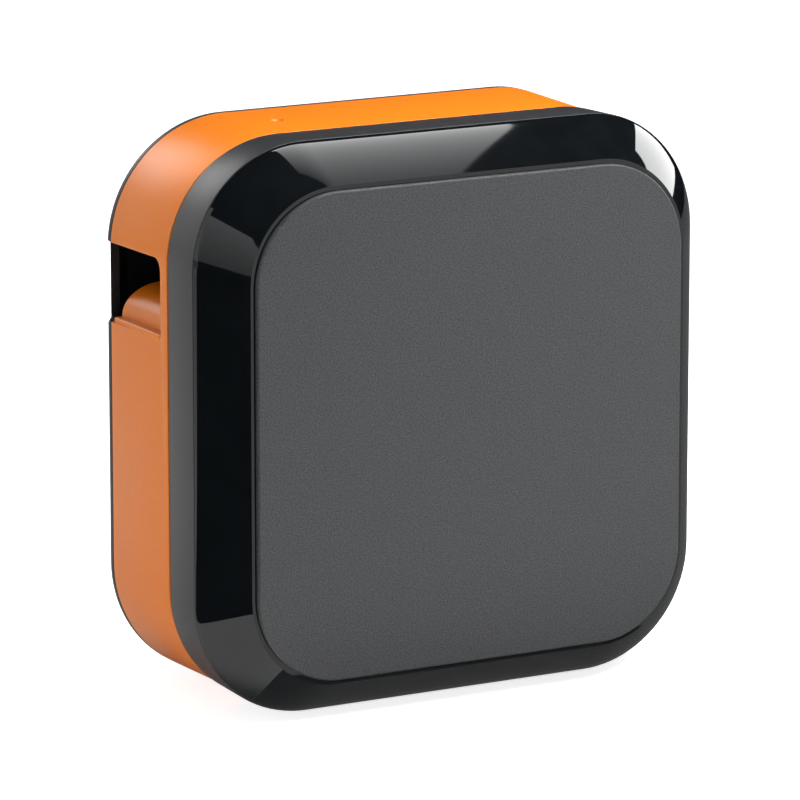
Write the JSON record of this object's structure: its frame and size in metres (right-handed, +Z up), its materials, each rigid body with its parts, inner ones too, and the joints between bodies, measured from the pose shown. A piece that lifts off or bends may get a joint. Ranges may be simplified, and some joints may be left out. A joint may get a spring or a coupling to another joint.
{
  "type": "label maker",
  "caption": "Compact upright cube-shaped desktop label maker with rounded corners, a coloured side band, a side tape exit and a hinged back cover.",
  "frame": {"origin": "on the standing surface, under the middle of the object's box", "axes": "+X to the viewer's right when looking at the front plate, +Y towards the back cover, +Z up"},
  "size_m": [0.128, 0.067, 0.1308],
  "materials": {
    "satin_case": "satin dark grey moulded ABS, fine spark texture",
    "plate_case": "dark grey moulded ABS with a fine grain",
    "gloss_black": "polished black acrylic-look plastic",
    "orange_case": "bright orange moulded ABS, semi-gloss",
    "black_inner": "black moulded plastic",
    "key_plastic": "dark grey key caps",
    "clear": "clear moulded plastic",
    "feet": "soft black rubber",
    "steel": "plain steel",
    "sink": "bare aluminium extrusion",
    "brass_gear": "machined brass",
    "gear_plastic": "white acetal",
    "board": "green fibreglass board",
    "component": "black epoxy component bodies",
    "label_tape": "white laminated label tape",
    "spool_plastic": "grey moulded spool"
  },
  "bodies": {
    "root": {"front_plate": "plate_case", "front_bezel": "gloss_black", "front_shell": "satin_case", "side_band": "orange_case", "exit_ramp": "orange_case", "exit_hood": "black_inner", "rubber_feet": "feet", "hinge_pins": "steel", "light_pipes": "clear", "switch_board": "board", "key_switches": "component", "usb_socket": "steel", "chassis": "black_inner", "chassis_screws": "steel", "band_screws": "steel", "bezel_screws": "steel", "drive_motor": "steel", "holder_shaft": "steel", "holder_spring": "steel", "print_head": "component", "heat_sink": "sink", "head_cable": "component", "cutter_frame": "black_inner", "fixed_blade": "steel", "cutter_motor": "steel", "battery_pack": "black_inner", "battery_contacts": "brass_gear", "main_board": "board", "board_screws": "steel", "board_parts": "component", "cassette_case": "black_inner", "cassette_lid": "clear", "label_leader": "label_tape"},
    "cover": {"back_cover": "satin_case", "cover_window": "clear"},
    "latch": {"cover_latch": "black_inner"},
    "power_key": {"power_button": "key_plastic"},
    "feed_key": {"feed_button": "key_plastic"},
    "holder": {"roller_holder": "black_inner"},
    "platen": {"platen_shaft": "steel", "platen_roller": "feet", "platen_gear": "gear_plastic"},
    "drive": {"drive_gear": "gear_plastic"},
    "idler": {"idler_gear": "gear_plastic"},
    "motor_shaft": {"motor_pinion": "brass_gear"},
    "take_up": {"take_up_gear": "gear_plastic", "take_up_shaft": "steel", "take_up_spool": "spool_plastic"},
    "supply": {"tape_core": "spool_plastic", "label_roll": "label_tape"},
    "ribbon": {"ribbon_spool": "spool_plastic"},
    "cutter": {"cutter_carriage": "black_inner", "moving_blade": "steel"},
    "cutter_shaft": {"cutter_gear": "brass_gear"}
  },
  "joints": [
    {"name": "cover_hinge", "type": "hinge", "parent": "root", "child": "cover", "pos_m": [0.0618, 0.019, 0.0657], "axis": [0, 0, -1], "range_deg": [0, 105]},
    {"name": "latch_slide", "type": "slide", "parent": "cover", "child": "latch", "axis": [1, 0, 0], "range_m": [0, 0.003], "stiffness_N_per_m": 300, "springref_m": -0.003},
    {"name": "power_press", "type": "slide", "parent": "root", "child": "power_key", "axis": [-1, 0, 0], "range_m": [0, 0.0008], "stiffness_N_per_m": 800, "springref_m": -0.001},
    {"name": "feed_press", "type": "slide", "parent": "root", "child": "feed_key", "axis": [-1, 0, 0], "range_m": [0, 0.0008], "stiffness_N_per_m": 800, "springref_m": -0.001},
    {"name": "holder_swing", "type": "hinge", "parent": "root", "child": "holder", "pos_m": [-0.014, 0, 0.085], "axis": [0, -1, 0], "range_deg": [0, 11]},
    {"name": "drive_spin", "type": "hinge", "parent": "root", "child": "drive", "pos_m": [-0.032, -0.0085, 0.1075], "axis": [0, 1, 0], "continuous": true},
    {"name": "idler_spin", "type": "hinge", "parent": "root", "child": "idler", "pos_m": [-0.01232, -0.0085, 0.09447], "axis": [0, 1, 0], "continuous": true},
    {"name": "motor_spin", "type": "hinge", "parent": "root", "child": "motor_shaft", "pos_m": [-0.00452, -0.0085, 0.10798], "axis": [0, 1, 0], "continuous": true},
    {"name": "take_up_spin", "type": "hinge", "parent": "root", "child": "take_up", "pos_m": [0.00536, -0.0085, 0.08277], "axis": [0, 1, 0], "continuous": true},
    {"name": "platen_spin", "type": "hinge", "parent": "holder", "child": "platen", "pos_m": [-0.032, -0.0085, 0.0899], "axis": [0, 1, 0], "continuous": true},
    {"name": "supply_spin", "type": "hinge", "parent": "root", "child": "supply", "pos_m": [0.034, -0.0085, 0.08], "axis": [0, 1, 0], "continuous": true},
    {"name": "ribbon_spin", "type": "hinge", "parent": "root", "child": "ribbon", "pos_m": [0.006, -0.0085, 0.064], "axis": [0, 1, 0], "continuous": true},
    {"name": "cutter_slide", "type": "slide", "parent": "root", "child": "cutter", "axis": [0, 0, -1], "range_m": [0, 0.007]},
    {"name": "cutter_turn", "type": "hinge", "parent": "root", "child": "cutter_shaft", "pos_m": [-0.0535, -0.0085, 0.098], "axis": [0, 1, 0], "range_deg": [0, 100.5]}
  ],
  "couplings": [
    {"joint": "holder_swing", "follows": "cover_hinge", "ratio": 0.10476},
    {"joint": "idler_spin", "follows": "drive_spin", "ratio": -1.0345},
    {"joint": "motor_spin", "follows": "drive_spin", "ratio": 3},
    {"joint": "take_up_spin", "follows": "drive_spin", "ratio": 1.25},
    {"joint": "platen_spin", "follows": "drive_spin", "ratio": -2.1429},
    {"joint": "supply_spin", "follows": "drive_spin", "ratio": -0.63707},
    {"joint": "ribbon_spin", "follows": "drive_spin", "ratio": -1.6837},
    {"joint": "cutter_turn", "follows": "cutter_slide", "rad_per_m": 250}
  ]
}
